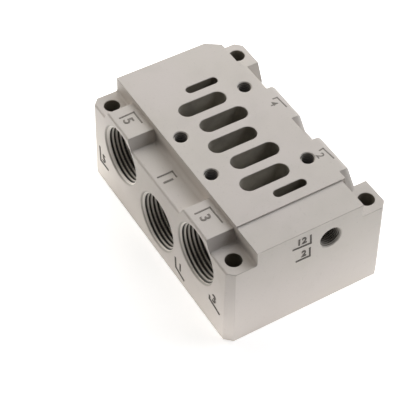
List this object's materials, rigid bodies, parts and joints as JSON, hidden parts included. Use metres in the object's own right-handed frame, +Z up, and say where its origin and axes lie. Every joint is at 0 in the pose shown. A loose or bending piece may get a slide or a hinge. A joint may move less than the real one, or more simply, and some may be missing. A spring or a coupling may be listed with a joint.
{
  "type": "valve base plate",
  "caption": "Die-cast sub-base for a side-ported pneumatic valve: slotted gasket face above, threaded ports front, back and ends, fixing holes in corner lugs.",
  "frame": {"origin": "centre of the plate's length on its underside, midway between the valve's front and back screws", "axes": "+Z up out of the gasket face, +X along the length, -Y out of the supply and exhaust ports"},
  "size_m": [0.1134, 0.0752, 0.0481],
  "materials": {
    "casting": "satin, fine cast texture"
  },
  "bodies": {
    "root": {"base_plate": "casting"}
  },
  "joints": []
}
